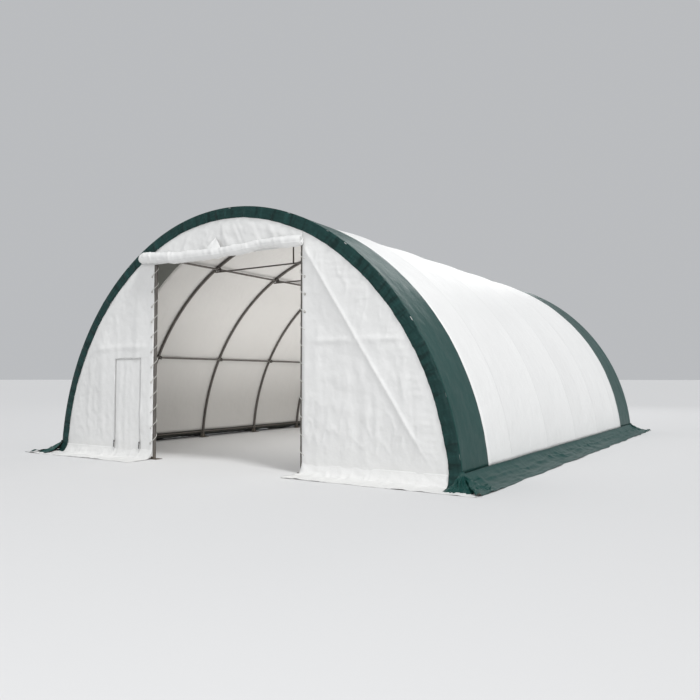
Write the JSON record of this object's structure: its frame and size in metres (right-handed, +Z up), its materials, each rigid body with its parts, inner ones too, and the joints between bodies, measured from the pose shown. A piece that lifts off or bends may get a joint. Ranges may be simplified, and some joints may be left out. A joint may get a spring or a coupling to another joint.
{
  "type": "fabric storage shelter",
  "caption": "Arched fabric shelter on tube hoops, with an open main door, its door cloth rolled up above, a zipped walk-in door and ground flaps.",
  "frame": {"origin": "on the ground at the middle of the building, under the crown", "axes": "+X across the building, -Y towards the end with the open main door, +Z up"},
  "size_m": [10.044, 13.3686, 4.572],
  "materials": {
    "white_fabric": "white coated fabric, smooth with a slight sheen",
    "green_fabric": "dark green coated fabric with a slight sheen",
    "galvanised_tube": "dull galvanised steel tube",
    "base_steel": "dull steel plate and cable"
  },
  "bodies": {
    "root": {"hoop_1": "galvanised_tube", "hoop_2": "galvanised_tube", "hoop_3": "galvanised_tube", "hoop_4": "galvanised_tube", "hoop_5": "galvanised_tube", "hoop_6": "galvanised_tube", "hoop_7": "galvanised_tube", "purlin_ridge": "galvanised_tube", "purlin_upper_left": "galvanised_tube", "purlin_upper_right": "galvanised_tube", "purlin_lower_left": "galvanised_tube", "purlin_lower_right": "galvanised_tube", "tie_bar_2": "galvanised_tube", "tie_bar_3": "galvanised_tube", "tie_bar_4": "galvanised_tube", "tie_bar_5": "galvanised_tube", "tie_bar_6": "galvanised_tube", "king_posts": "galvanised_tube", "door_jamb_left": "galvanised_tube", "door_jamb_right": "galvanised_tube", "door_header": "galvanised_tube", "front_girts": "galvanised_tube", "rear_posts": "galvanised_tube", "rear_girts": "galvanised_tube", "ground_rail_left": "galvanised_tube", "ground_rail_right": "galvanised_tube", "foot_plates": "base_steel", "purlin_clamps": "base_steel", "front_brace_cable": "base_steel", "roof_cover": "white_fabric", "front_panel_left": "white_fabric", "front_panel_right": "white_fabric", "front_panel_top": "white_fabric", "man_door": "white_fabric", "rear_panel": "white_fabric", "front_flap_left": "white_fabric", "front_flap_right": "white_fabric", "rear_flap": "white_fabric", "door_roll": "white_fabric", "front_band": "green_fabric", "rear_band": "green_fabric", "base_skirt_left": "green_fabric", "base_skirt_right": "green_fabric", "front_edge_band": "green_fabric", "rear_edge_band": "green_fabric"}
  },
  "joints": []
}
